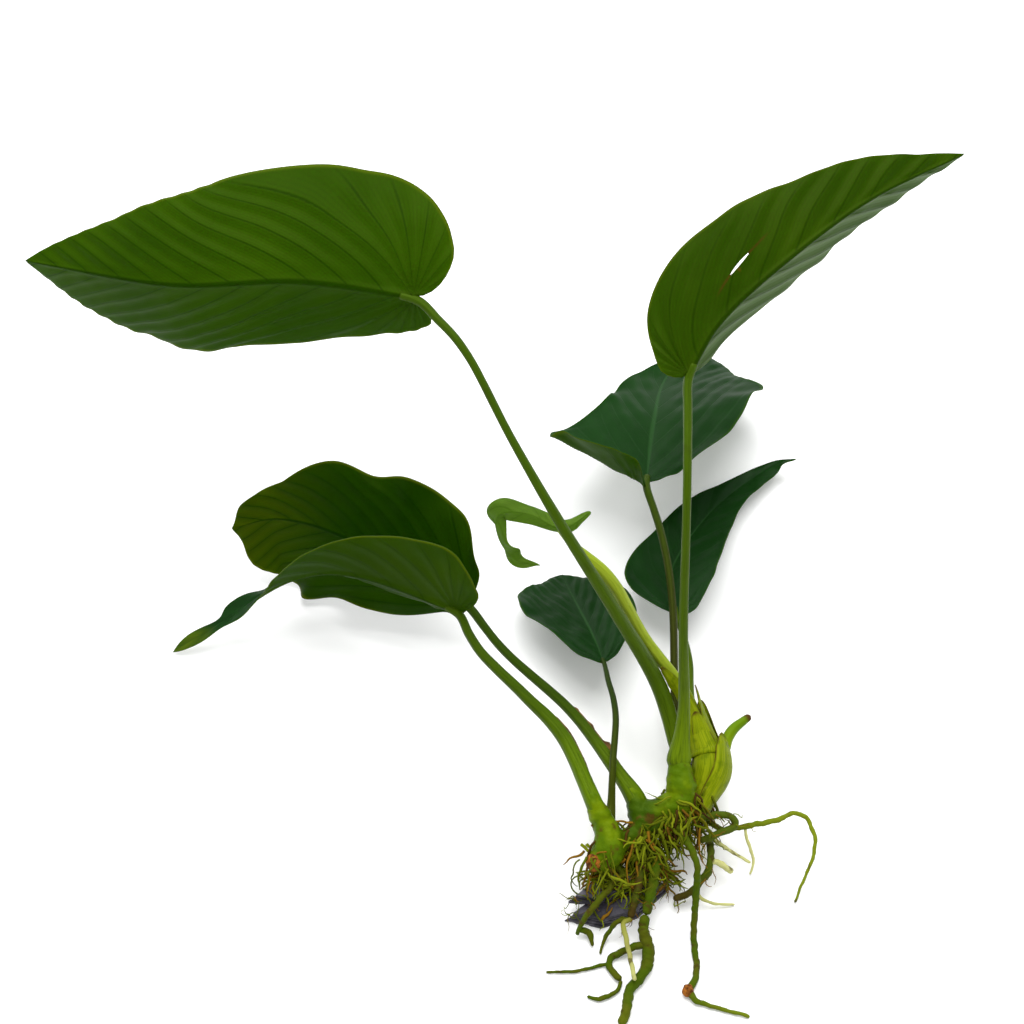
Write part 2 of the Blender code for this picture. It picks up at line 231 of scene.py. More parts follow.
def sheet(mid, facing, above, below, hole=None):
    """Vertices and faces of a closed sheet: its middle surface with a thickness either way."""
    rows, cells = mid.shape[:2]
    n = rows * cells
    verts = np.vstack([(mid + facing * above[..., None]).reshape(-1, 3),
                       (mid - facing * below[..., None]).reshape(-1, 3)])
    solid = np.ones((rows - 1, cells - 1), bool) if hole is None else ~hole
    faces, kind = [], []
    for i in range(rows - 1):
        for j in range(cells - 1):
            if not solid[i, j]:
                continue
            a, b = i * cells + j, i * cells + j + 1
            c, d = b + cells, a + cells
            faces += [(a, b, c, d), (n + d, n + c, n + b, n + a)]
            kind += [0, 1]
            for p, q, y, x in ((a, b, i - 1, j), (b, c, i, j + 1), (c, d, i + 1, j),
                               (d, a, i, j - 1)):
                inside = 0 <= y < rows - 1 and 0 <= x < cells - 1 and solid[y, x]
                if not inside:
                    faces.append((q, p, n + p, n + q))
                    kind.append(0)
    return verts, faces, kind


def sheet_uvs(s, t):
    """UVs for both faces of a sheet, where s runs from 0 to 1 and t from -1 to 1."""
    uv = np.stack([s, (t + 1) / 2], -1).reshape(-1, 2)
    return np.vstack([uv, uv])


def facing_of(mid):
    """The direction that a grid of points faces in at each of them."""
    return unit(np.cross(np.gradient(mid, axis=1), np.gradient(mid, axis=0)))


def ripple(points, scale, seed=0.0):
    """Smooth noise from -1 to 1 at each point, with features scale millimetres across."""
    flat = np.asarray(points, float).reshape(-1, 3) / scale + seed
    value = [noise.noise(Vector(p)) for p in flat]
    return np.array(value).reshape(np.shape(points)[:-1])


def frames(line, first=(0.31, -0.5, 0.81)):
    """Two directions square to a line at each of its points, carried along without twist."""
    side = np.array(first, float)
    for w in unit(np.gradient(line, axis=0)):
        side = unit(side - w * (side @ w))
        yield side, np.cross(w, side)


def rings(line, radii, around, profile=None):
    """Vertices round a line, with their UVs."""
    angle = np.linspace(0, math.tau, around, endpoint=False)
    verts, uvs = [], []
    run = run_along(line)
    for i, (p, (side, over), r) in enumerate(zip(line, frames(line), radii)):
        scale = np.ones(around) if profile is None else profile(run[i] / run[-1], angle)
        out = np.outer(np.cos(angle), side) + np.outer(np.sin(angle), over)
        verts.append(p + out * (r * scale)[:, None])
        uvs += [(run[i] / 10, a / math.tau) for a in angle]
    return np.array(verts), uvs


def tube_faces(count, around, first=0):
    faces = [(first + i * around + j, first + i * around + (j + 1) % around,
              first + (i + 1) * around + (j + 1) % around, first + (i + 1) * around + j)
             for i in range(count - 1) for j in range(around)]
    faces.append(tuple(first + j for j in reversed(range(around))))
    faces.append(tuple(first + (count - 1) * around + j for j in range(around)))
    return faces


def stem(name, rows, mats, slot, step=0.8, around=24, rough=0.05, grain=3.0,
         profile=None, seed=0.0, wander=0.0, swell=0.0):
    """A round stem on a smooth line of rows (x, y, z, radius), with an uneven skin."""
    length = smooth(rows, 8)[1]
    line = smooth(rows, max(6, round(length / step)))[0]
    for axis in range(3 if wander else 0):
        line[:, axis] += wander * ripple(line[:, :3], 2.4, 11.3 * (axis + 1))
    reach = np.linspace(0, length, len(line))
    radius = line[:, 3] * (1 + swell * np.exp(-(reach / SWELL_REACH) ** 2))
    for end in (reach, length - reach):
        cap = np.clip(end / np.maximum(radius, 0.1), 0, 1)
        radius = radius * np.sqrt(np.clip(1 - (1 - cap) ** 2, 0.03, 1))
    verts, uvs = rings(line[:, :3], radius, around, profile)
    middle = line[:, None, :3]
    bump = 1 + rough * ripple(verts, grain, seed)
    verts = middle + (verts - middle) * bump[..., None]
    verts[..., 2] = np.maximum(verts[..., 2], FLOOR_GAP)
    return new_object(name, verts.reshape(-1, 3), tube_faces(len(line), around), mats, uvs)


# ---- materials ----
class Shade:
    """Builds the nodes of one material."""

    def __init__(self, name, roughness, specular, sheen=(1.0, 1.0, 1.0)):
        self.mat = bpy.data.materials.new(name)
        self.mat.use_nodes = True
        self.tree = self.mat.node_tree
        self.shader = self.tree.nodes["Principled BSDF"]
        self.shader.inputs["Roughness"].default_value = roughness
        self.shader.inputs["Specular IOR Level"].default_value = specular
        self.shader.inputs["Specular Tint"].default_value = (*sheen, 1.0)
        self.place = self.node("ShaderNodeTexCoord").outputs["Object"]
        split = self.node("ShaderNodeSeparateXYZ", Vector=self.node("ShaderNodeUVMap").outputs[0])
        self.along, self.across = split.outputs["X"], split.outputs["Y"]

    def node(self, kind, props=None, **inputs):
        made = self.tree.nodes.new(kind)
        for key, value in (props or {}).items():
            setattr(made, key, value)
        for key, value in inputs.items():
            self.feed(made.inputs[key], value)
        return made

    def feed(self, socket, value):
        if isinstance(value, bpy.types.NodeSocket):
            self.tree.links.new(value, socket)
        else:
            socket.default_value = value

    def math(self, operation, a, b=0.0, c=0.0):
        made = self.tree.nodes.new("ShaderNodeMath")
        made.operation = operation
        for socket, value in zip(made.inputs, (a, b, c)):
            self.feed(socket, value)
        return made.outputs[0]

    def step(self, value, low, high, start=0.0, end=1.0):
        """start where value is low, end where it is high, and smooth between."""
        made = self.node("ShaderNodeMapRange", {"interpolation_type": "SMOOTHSTEP"})
        for socket, v in zip(made.inputs, (value, low, high, start, end)):
            self.feed(socket, v)
        return made.outputs["Result"]

    def noise(self, scale, detail, vector=None):
        made = self.node("ShaderNodeTexNoise", Scale=scale, Detail=detail,
                         Vector=self.place if vector is None else vector)
        return made.outputs["Fac"]

    def mix(self, amount, a, b):
        made = self.tree.nodes.new("ShaderNodeMix")
        made.data_type = "RGBA"
        self.feed(made.inputs["Factor"], amount)
        for socket, colour in ((made.inputs[6], a), (made.inputs[7], b)):
            self.feed(socket, (*colour, 1.0) if isinstance(colour, tuple) else colour)
        return made.outputs[2]

    def mottle(self, scale, detail, low, high, a, b, amount=1.0):
        """Colour a where noise is below low, and up to amount of b where it is above high."""
        return self.mix(self.step(self.noise(scale, detail), low, high, 0.0, amount), a, b)

    def outward(self):
        """0 on a sheet's middle line and 1 at its margins."""
        return self.math("ABSOLUTE", self.math("MULTIPLY_ADD", self.across, 2.0, -1.0))

    def away_from(self, node):
        """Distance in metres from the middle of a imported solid."""
        low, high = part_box(node)
        made = self.node("ShaderNodeVectorMath", {"operation": "DISTANCE"})
        self.feed(made.inputs[0], self.place)
        made.inputs[1].default_value = (low + high) / 2
        return made.outputs["Value"]

    def colour(self, value):
        self.feed(self.shader.inputs["Base Color"], value)

    def bump(self, height, distance, strength):
        made = self.node("ShaderNodeBump", Height=height, Distance=distance, Strength=strength)
        self.feed(self.shader.inputs["Normal"], made.outputs["Normal"])

    def glow(self, colour, amount):
        """Light that comes through the thin tissue from its other side."""
        through = self.node("ShaderNodeBsdfTranslucent")
        self.feed(through.inputs["Color"], colour)
        blend = self.node("ShaderNodeMixShader")
        self.feed(blend.inputs[0], amount)
        self.feed(blend.inputs[1], self.shader.outputs[0])
        self.feed(blend.inputs[2], through.outputs[0])
        out = self.tree.nodes["Material Output"]
        self.feed(out.inputs["Surface"], blend.outputs[0])


# torn place in a blade: its s and t, half its length and width in them, and how it slants
SLIT = (0.4, -0.35, 0.036, 0.016, -1.1)
# pinch near a blade's tip: its s, half its length, and the share of the width that it takes
PINCH = (0.85, 0.045, 0.5)
TORN_BLADE, PINCHED_BLADE = "blade_upper_right", "blade_front_left"
PAINTED_SHEEN = 0.75                  # how strong the painted grey sheen on one half is
GREEN_SHEEN = (0.75, 1.0, 0.2)
WHITE_SHEEN = (1.0, 1.0, 1.0)
YELLOW_LIGHT = (0.17, 0.34, 0.001, 1)   # light through a blade seen from below
GREEN_LIGHT = (0.04, 0.26, 0.008, 1)    # and from above


def veins_of(sh, multiple, width):
    """1 on the side veins, or on finer veins between them, and 0 away from them."""
    phase = sh.node("ShaderNodeAttribute", {"attribute_name": "vein_phase"}).outputs["Fac"]
    off = sh.math("PINGPONG", sh.math("MULTIPLY", phase, multiple), 0.5)
    return sh.step(off, 0.0, width, 1.0, 0.0)


def slit_stain(sh):
    """Brown streaks that carry on from both ends of the slit, along the same vein."""
    row, column, long, wide, slant = SLIT
    line = sh.math("MULTIPLY_ADD", sh.along, slant / 2, (column + 1 - slant * row) / 2)
    off = sh.math("ABSOLUTE", sh.math("SUBTRACT", sh.across, line))
    off = sh.math("MULTIPLY_ADD", sh.noise(600, 3), 0.012, off)
    beyond = sh.math("ABSOLUTE", sh.math("SUBTRACT", sh.along, row))
    return sh.math("MULTIPLY", sh.step(off, 0.009, 0.016, 0.9, 0.0),
                   sh.step(beyond, 1.8 * long, 2.9 * long, 1.0, 0.0))


def leaf_material(name, deep, light, vein, rim, roughness, specular, through,
                  vein_strength=0.8, patch=None, sheen=GREEN_SHEEN, worn_and_sheen=False):
    """A blade's skin, with its veins, its rim, and the light that comes through it.

    patch: a colour towards the tip, and the stretch it comes in over. worn_and_sheen: brown spots,
    the stain of the slit, and a painted grey sheen on one half, fainter on the side veins.
    """
    sh = Shade(name, roughness, specular, sheen)
    out = sh.outward()
    body = sh.mottle(28, 3, 0.35, 0.68, deep, light)
    if patch is not None:
        colour, low, high = patch
        body = sh.mix(sh.step(sh.along, low, high), body, colour)
    beside = veins_of(sh, 1, 0.5)
    # painted sheen: a lighter grey on one half of the blade, fainter on its side veins
    if worn_and_sheen:
        half = sh.step(sh.across, 0.5, 0.53, 0.0, PAINTED_SHEEN)
        body = sh.mix(sh.math("MULTIPLY", half, sh.step(beside, 0.0, 1.0, 1.0, 0.45)), body,
                      (0.17, 0.24, 0.11))
    main = veins_of(sh, 1, 0.07)
    fine = veins_of(sh, 7, 0.35)
    body = sh.mix(sh.math("MULTIPLY", beside, 0.35), body, deep)
    midrib = sh.step(out, 0.012, 0.035, 1.0, 0.0)
    inner = sh.step(out, 0.75, 1.0, 1.0, 0.2)
    mark = sh.math("MULTIPLY", sh.math("MULTIPLY_ADD", fine, 0.3, main), inner)
    mark = sh.math("MULTIPLY", mark, vein_strength)
    body = sh.mix(sh.math("MINIMUM", mark, 0.9), body, vein)
    body = sh.mix(sh.math("MULTIPLY", midrib, 0.85), body, vein)
    body = sh.mix(sh.step(out, 0.955, 0.995, 0.0, 0.8), body, rim)
    if worn_and_sheen:
        body = sh.mix(slit_stain(sh), body, (0.07, 0.03, 0.004))
        body = sh.mottle(110, 2, 0.733, 0.788, body, (0.16, 0.06, 0.008))
    sh.colour(body)
    grain = sh.math("MULTIPLY", sh.noise(1100, 3), 0.35)
    sh.bump(sh.math("MULTIPLY_ADD", main, -0.5, sh.math("MULTIPLY_ADD", fine, -0.12, grain)),
            0.00015, 0.5)
    sh.glow(through, 0.36)
    return sh.mat


UNDERSIDE = leaf_material(
    "leaf_underside", (0.024, 0.058, 0.0005), (0.038, 0.085, 0.001), (0.011, 0.03, 0.0),
    (0.1, 0.14, 0.004), 0.42, 0.05, YELLOW_LIGHT)
UNDERSIDE_WORN_SHEEN = leaf_material(
    "leaf_underside_worn_sheen", (0.024, 0.054, 0.0005), (0.042, 0.084, 0.001), (0.014, 0.033, 0.0),
    (0.08, 0.11, 0.004), 0.45, 0.09, YELLOW_LIGHT, worn_and_sheen=True)
# painted shade: a darker copy of the underside, for blades that lie in the shade of others
UNDERSIDE_SHADED = leaf_material(
    "leaf_underside_shaded", (0.011, 0.037, 0.0), (0.023, 0.06, 0.0005), (0.004, 0.018, 0.0),
    (0.1, 0.13, 0.005), 0.42, 0.05, (0.09, 0.22, 0.001, 1), patch=((0.06, 0.085, 0.001), 0.6, 1.0))
UPPER = leaf_material(
    "leaf_upper_side", (0.004, 0.026, 0.003), (0.01, 0.043, 0.008), (0.022, 0.075, 0.018),
    (0.03, 0.08, 0.005), 0.42, 0.08, GREEN_LIGHT, vein_strength=0.22, sheen=WHITE_SHEEN)
UPPER_TIP = leaf_material(
    "leaf_upper_yellow_tip", (0.004, 0.026, 0.003), (0.01, 0.043, 0.008), (0.012, 0.04, 0.008),
    (0.08, 0.13, 0.004), 0.4, 0.12, GREEN_LIGHT, vein_strength=0.2, sheen=WHITE_SHEEN,
    patch=((0.09, 0.14, 0.003), 0.86, 0.93))
TIP_LEAF = leaf_material(
    "leaf_underside_pale_tip", (0.024, 0.056, 0.0005), (0.04, 0.08, 0.001), (0.012, 0.032, 0.0),
    (0.11, 0.14, 0.004), 0.42, 0.05, YELLOW_LIGHT, patch=((0.085, 0.125, 0.002), 0.62, 0.9))
YOUNG_LEAF = leaf_material(
    "young_leaf", (0.07, 0.14, 0.012), (0.12, 0.21, 0.035), (0.045, 0.1, 0.006),
    (0.17, 0.24, 0.04), 0.38, 0.2, (0.3, 0.5, 0.02, 1))


def stalk_material(name, foot, mid, top, streak):
    """Fibres along the stalk, and a colour that changes from its foot to its top."""
    sh = Shade(name, 0.4, 0.12, GREEN_SHEEN)
    body = sh.mix(sh.step(sh.along, 0.3, 4.0), foot, mid)
    body = sh.mix(sh.step(sh.along, 4.0, 12.0), body, top)
    stretch = sh.node("ShaderNodeCombineXYZ", X=sh.math("MULTIPLY", sh.along, 0.5),
                      Y=sh.math("MULTIPLY", sh.across, 9.0)).outputs[0]
    fibre = sh.noise(3.0, 4, stretch)
    body = sh.mix(sh.step(fibre, 0.45, 0.72, 0.0, 0.7), body, streak)
    sh.colour(sh.mottle(140, 4, 0.6, 0.75, body, (0.02, 0.03, 0.002), 0.35))
    sh.bump(sh.math("MULTIPLY_ADD", fibre, 0.6, sh.math("MULTIPLY", sh.noise(700, 3), 0.4)),
            0.0003, 0.6)
    return sh.mat


STALK = stalk_material(
    "stalk_green", (0.1, 0.16, 0.003), (0.045, 0.085, 0.002), (0.035, 0.075, 0.002),
    (0.025, 0.05, 0.001))
DARK_STALK = stalk_material(
    "stalk_dark", (0.04, 0.05, 0.003), (0.012, 0.03, 0.003), (0.012, 0.03, 0.003),
    (0.03, 0.035, 0.003))
# painted shade: darker and brownish towards the foot, where the back stalk lies over the narrow
# blade
SHADED_FOOT_STALK = stalk_material(
    "stalk_shaded_below", (0.03, 0.03, 0.003), (0.022, 0.024, 0.003), (0.03, 0.07, 0.002),
    (0.02, 0.03, 0.002))
SIDE_STALK = stalk_material(
    "stalk_side", (0.08, 0.14, 0.002), (0.035, 0.07, 0.001), (0.025, 0.055, 0.001),
    (0.015, 0.035, 0.001))
SHADED_STALK = stalk_material(
    "stalk_shaded", (0.07, 0.12, 0.002), (0.022, 0.05, 0.001), (0.016, 0.038, 0.001),
    (0.012, 0.028, 0.001))
YOUNG_STALK = stalk_material(
    "young_stalk", (0.12, 0.19, 0.004), (0.26, 0.33, 0.02), (0.18, 0.26, 0.015),
    (0.1, 0.16, 0.004))
BRACT = stalk_material(
    "bract_skin", (0.12, 0.2, 0.002), (0.2, 0.28, 0.01), (0.2, 0.28, 0.01), (0.11, 0.17, 0.003))


def rhizome_material():
    """Green skin, darker in its middle and with brown grime."""
    sh = Shade("rhizome_skin", 0.45, 0.12, GREEN_SHEEN)
    body = sh.mottle(170, 3, 0.36, 0.66, (0.06, 0.115, 0.001), (0.12, 0.18, 0.001))
    shade = sh.math("MULTIPLY_ADD", sh.noise(200, 3), 0.008, sh.away_from("rhizome_middle"))
    body = sh.mix(sh.step(shade, 0.009, 0.014, 0.85, 0.0), body, (0.022, 0.055, 0.001))
    sh.colour(sh.mottle(300, 5, 0.56, 0.7, body, (0.07, 0.035, 0.006), 0.85))
    sh.bump(sh.noise(900, 4), 0.0003, 0.7)
    return sh.mat


def scale_material():
    """A thin scale: pale with fine lines along it, and brown where its margin has dried."""
    sh = Shade("scale_skin", 0.42, 0.1, GREEN_SHEEN)
    lines = sh.node("ShaderNodeCombineXYZ", X=sh.along, Y=sh.math("MULTIPLY", sh.across, 14.0))
    stripe = sh.noise(2.4, 3, lines.outputs[0])
    body = sh.mix(sh.step(stripe, 0.35, 0.65), (0.14, 0.2, 0.001), (0.3, 0.36, 0.006))
    body = sh.mottle(380, 4, 0.52, 0.66, body, (0.07, 0.12, 0.001), 0.5)
    edge = sh.math("MAXIMUM", sh.step(sh.outward(), 0.9, 0.97), sh.step(sh.along, 0.93, 0.98))
    edge = sh.math("MULTIPLY", edge, sh.step(sh.noise(260, 4), 0.3, 0.5))
    sh.colour(sh.mix(edge, body, (0.09, 0.045, 0.008)))
    sh.bump(stripe, 0.0003, 0.6)
    sh.glow((0.3, 0.45, 0.01, 1), 0.25)
    return sh.mat


def horn_material(length):
    """The side shoot's skin, with a brown tip at the given length."""
    sh = Shade("side_shoot_skin", 0.4, 0.12, GREEN_SHEEN)
    end = length / 10
    body = sh.mix(sh.step(sh.along, 0.3, 0.8 * end), (0.17, 0.24, 0.002), (0.09, 0.17, 0.002))
    sh.colour(sh.mix(sh.step(sh.along, end - 0.22, end - 0.08), body, (0.06, 0.026, 0.006)))
    sh.bump(sh.noise(700, 3), 0.0002, 0.5)
    return sh.mat


def root_material(name, dark, light, tip, start, reach):
    """Mottled near the stone, and paler from start to reach millimetres away from it."""
    sh = Shade(name, 0.62, 0.1, GREEN_SHEEN)
    body = sh.mottle(190, 4, 0.38, 0.64, dark, light)
    body = sh.mix(sh.step(sh.away_from("slate_lower"), start * MM, reach * MM), body, tip)
    sh.colour(sh.mottle(420, 5, 0.58, 0.7, body, (0.045, 0.024, 0.006), 0.75))
    sh.bump(sh.noise(1500, 4), 0.0003, 0.8)
    return sh.mat


def fibre_material():
    """Thin rootlets. Each has its own colour: brown, orange or yellow-green."""
    sh = Shade("root_fibre", 0.65, 0.08, GREEN_SHEEN)
    tone = sh.node("ShaderNodeAttribute", {"attribute_name": "tone"}).outputs["Fac"]
    body = sh.mix(sh.step(tone, 0.1, 0.2), (0.05, 0.026, 0.005), (0.2, 0.1, 0.008))
    body = sh.mix(sh.step(tone, 0.25, 0.35), body, (0.08, 0.1, 0.003))
    body = sh.mix(sh.step(tone, 0.6, 0.9), body, (0.17, 0.2, 0.007))
    sh.colour(sh.mottle(420, 5, 0.58, 0.72, body, (0.06, 0.04, 0.005), 0.6))
    sh.bump(sh.noise(1500, 4), 0.0003, 0.8)
    return sh.mat


def slate_material():
    """Dark grey with pale flecks and olive patches."""
    sh = Shade("slate_face", 0.6, 0.35)
    body = sh.mottle(90, 5, 0.35, 0.65, (0.018, 0.017, 0.024), (0.065, 0.06, 0.08))
    body = sh.mottle(320, 4, 0.55, 0.72, body, (0.15, 0.14, 0.17), 0.6)
    sh.colour(sh.mottle(130, 4, 0.56, 0.7, body, (0.09, 0.075, 0.012), 0.7))
    sh.bump(sh.noise(700, 6), 0.0006, 0.9)
    return sh.mat


def scar_material():
    sh = Shade("cut_end", 0.8, 0.12)
    sh.colour(sh.mottle(900, 5, 0.38, 0.66, (0.08, 0.024, 0.003), (0.36, 0.12, 0.014)))
    sh.bump(sh.noise(1600, 4), 0.0008, 1.0)
    return sh.mat


def dry_material():
    sh = Shade("dry_film", 0.75, 0.2)
    sh.colour(sh.mottle(300, 4, 0.4, 0.66, (0.07, 0.03, 0.006), (0.22, 0.11, 0.025)))
    sh.bump(sh.noise(1200, 3), 0.0003, 0.8)
    return sh.mat


RHIZOME, SCALE, FIBRE = rhizome_material(), scale_material(), fibre_material()
SLATE, SCAR, DRY = slate_material(), scar_material(), dry_material()
ROOT = root_material(
    "root_green", (0.065, 0.075, 0.004), (0.045, 0.08, 0.002), (0.15, 0.19, 0.008), 22, 50)
OLD_ROOT = root_material(
    "root_brown", (0.05, 0.03, 0.006), (0.05, 0.07, 0.005), (0.06, 0.09, 0.006), 10, 34)
PALE_ROOT = root_material(
    "root_pale", (0.2, 0.2, 0.03), (0.26, 0.27, 0.05), (0.5, 0.5, 0.2), 8, 30)

# ---- leaf blades: midrib, face, bend, left half, right half ----
UNDERSIDE_SHOWN = (0, 0.84, -0.54)
FLAT = (0, 0.2, 1)
ON_EDGE = (0, 1, 0.1)
BLADES = {
    "blade_upper_left": Blade(
        [(-23, 18, 102), (-50, 20, 105), (-80, 20, 104), (-117, 36, 94)], [UNDERSIDE_SHOWN],
        (18, 30, 28, 16), (8, 29, 0.16, 3.5, 2.0), (5, 26, 0.55, 1.9, 2.2)),
    "blade_upper_right": Blade(
        [(41, 3, 92), (49, 13, 100), (65, 25, 108), (85, 40, 112), (108, 54, 112)],
        [(-0.3, 0.8, -0.5)],
        (40, 8, 20, 30), (0, 17, 0.45, 2.6, 1.5), (3, 19, 0.27, 2.0, 1.4)),
    "blade_back": Blade(
        [(35, 21, 24), (38, 45, 19), (42, 66, 9), (52, 84, 0.6)], [FLAT],
        (8, 6, 8, 6), (10, 26, 0.16, 2.2, 0.65), (0, 28, 0.55, 1.5, 2.4), raised=(0.4, 75)),
    "blade_narrow": Blade(
        [(42, -12, 12), (42, 4, 9), (54, 26, 4), (70, 40, 4), (77, 40, 8)], [FLAT],
        (12, 8, 12, 8), (0, 12, 0.15, 2.0, 1.0), (1, 12, 0.2, 2.0, 1.5)),
    "blade_small": Blade(
        [(23, -29, 16), (20, -18, 13), (13, 7, 1)], [FLAT],
        (8, 8, 8, 8), (0, 16, 0.6, 1.2, 2.2), (0, 14, 0.45, 1.6, 1.9)),
    "blade_rear_left": Blade(
        [(-11, -13, 17), (-42, 5, 21), (-60, 12, 20), (-73, 11, 17)], [(0, 0.9, -0.4)],
        (10, 10, -4, 0), (0, 21, 0.2, 2.2, 2.8), (0, 20, 0.6, 1.3, 6.0)),
    "blade_front_left": Blade(
        [(-14, -20, 26), (-39, -11, 28), (-56, -9, 23), (-74, -13, 10), (-88, -17, 0.8)],
        [ON_EDGE, ON_EDGE, (0, 0.85, 0.5), (0, -0.2, 1), (0, -0.2, 1)],
        (10, 10, 14, 14), (5, 20, 0.08, 2.0, 1.4, 3.0), (0, 12, 0.25, 1.6, 2.5, 3.0)),
    "blade_young": Blade(
        [(19, -14, 60), (12, -17, 57.5), (4, -14, 59), (-3, -13.5, 58.5), (-3, -16, 52),
         (1, -19, 47), (7, -20, 46)],
        [(0, 0.3, -0.95), (0, 0.75, -0.6), (0, 0.35, -0.9), (0, 0.9, -0.4), (0.9, 0.2, 0.1),
         (0.3, 0.6, -0.7), (0, 0.8, -0.6)],
        (14, 24, 14, 30), (0, 3.4, 0.5, 1.4, 1.6), (0, 2.6, 0.75, 2.0, 2.0)),
}

# per blade: upper and under materials, slot, side veins, pleat depth, how bumpy it is between
# them, and the margin's wave and its count
LEAF_LOOKS = {
    "blade_upper_left": (UPPER, UNDERSIDE, "leaf_underside", 11, 0.34, 0.15, 0.35, 4.0),
    "blade_upper_right": (UPPER, UNDERSIDE_WORN_SHEEN, "leaf_underside", 8, 0.36, 0.1, 0.25, 5.0),
    "blade_back": (UPPER, UNDERSIDE, "leaf_upper_side", 8, 0.12, 0.3, 0.9, 4.0),
    "blade_narrow": (UPPER, UNDERSIDE_SHADED, "leaf_upper_side", 7, 0.14, 0.4, 0.6, 2.6),
    "blade_small": (UPPER, UNDERSIDE_SHADED, "leaf_upper_side", 7, 0.16, 0.6, 0.4, 4.0),
    "blade_rear_left": (UPPER, UNDERSIDE_SHADED, "leaf_underside", 9, 0.2, 0.2, 1.5, 4.0),
    "blade_front_left": (UPPER_TIP, TIP_LEAF, "leaf_underside", 9, 0.15, 0.1, 0.3, 5.0),
    "blade_young": (YOUNG_LEAF, YOUNG_LEAF, "young_growth", 6, 0.08, 0.12, 0.5, 3.0),
}


def vein_phase(a, c, length, count):
    """Counts the side veins. They leave the midrib aslant, bow to the tip, and fan out at the
    stalk end.
    """
    lean = (0.9 + 1.3 * np.clip(a / length, 0, 1)) * c ** 1.05
    ahead = (a - lean) / length
    fan = (np.arctan2(c, a) - np.arctan2(c, lean)) / 0.28
    return np.where(ahead >= 0, count * np.maximum(ahead, 0) ** 0.92, -fan)


def torn(s, t):
    """The cells that the slit removes. The vertices round them are moved onto a smooth lens."""
    row, column, long, wide, slant = SLIT
    x, y = (s - row) / long, (t - column - slant * (s - row)) / wide
    size = np.hypot(x, y)
    hole = (size[:-1, :-1] + size[1:, :-1] + size[:-1, 1:] + size[1:, 1:]) / 4 < 1
    wall = np.pad(hole, 1)
    near = [wall[i:i + len(s), j:j + s.shape[1]] for i in (0, 1) for j in (0, 1)]
    rim = np.any(near, axis=0) & ~np.all(near, axis=0)
    x, y = (np.where(rim, q / np.maximum(size, 0.1), q) for q in (x, y))
    s = row + x * long
    return s, column + slant * (s - row) + y * wide, hole


def leaf(name, blade, upper, under, slot, veins, pleat, bumpy, wave, waves):
    """A fine blade: pleated between its side veins, ribbed below, and waved at its margins."""
    cells = LEAF_CELLS * (2 if name == TORN_BLADE else 1)
    s, t = np.meshgrid(np.linspace(0, 1, LEAF_ROWS), np.linspace(-1, 1, cells + 1),
                       indexing="ij")
    hole = None
    if name == TORN_BLADE:
        s, t, hole = torn(s, t)
    spot, long, depth = PINCH
    narrow = depth * np.exp(-((s - spot) / long) ** 2) if name == PINCHED_BLADE else 0
    placed = blade.surface(s, t * (1 - narrow))
    mid, a, c = placed[..., :3], placed[..., 3], placed[..., 4]
    facing = facing_of(mid)
    centre = facing[LEAF_ROWS // 2, cells // 2]
    facing *= -1 if centre @ blade.read(blade.up, blade.length / 2) < 0 else 1
    out = np.abs(t)
    side = np.where(t >= 0, 0.0, 0.37)
    ends = ease(s, 0.0, 0.12) * (1 - ease(s, 0.9, 1.0))
    phase = vein_phase(a, c, blade.length, veins) + side + 0.16 * ripple(mid, 16)
    field = ease(out, 0.05, 0.25) * (1 - 0.5 * ease(out, 0.75, 1.0)) * ends
    lift = -pleat * np.cos(math.tau * phase) * field + bumpy * ripple(mid, 5) * field
    turn = math.tau * (waves * s + side) + 3 * ripple(mid, 18)
    lift = lift + wave * out ** 4 * ends * np.sin(turn)
    turn = math.tau * (0.8 * waves * s + side) + 1.5 * ripple(mid, 25)
    sway = wave * out ** 3 * ends * np.sin(turn)
    outward = unit(np.gradient(mid, axis=1)) * np.sign(t)[..., None]
    mid = mid + facing * lift[..., None] + outward * sway[..., None]
    thick = MARGIN_THICKNESS + (LEAF_THICKNESS - MARGIN_THICKNESS) * (1 - ease(out, 0.8, 1.0))
    rib = (0.8 * (1 - s) ** 0.8 + 0.15) * ease(s, 0.0, 0.03) * (1 - ease(s, 0.95, 1))
    if name == "blade_young":
        rib = rib * 0.4
    ridge = rib * np.exp(-(c / (0.35 + 0.75 * (1 - s))) ** 2)
    verts, faces, kind = sheet(mid, facing, thick / 2 - 0.15 * ridge, thick / 2 + 0.75 * ridge,
                               hole)
    verts[:, 2] = np.maximum(verts[:, 2], FLOOR_GAP)
    ob = new_object(name + "_fine", verts, faces, [upper, under], sheet_uvs(s, t), kind,
                    values={"vein_phase": np.tile(phase.ravel(), 2)})
    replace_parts(ob, name)


for name, blade in BLADES.items():
    leaf(name, blade, *LEAF_LOOKS[name])

# ---- middle lines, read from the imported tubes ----
def packed(node):
    """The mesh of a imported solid."""
    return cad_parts[node].data


def plant_points(mesh):
    return np.array([v.co for v in mesh.vertices]) / MM - SHIFT


CROWN = plant_points(packed("rhizome_middle")).mean(0)
BEHIND = CROWN - (0, 60, 0)   # a place on the root side of the whole rhizome


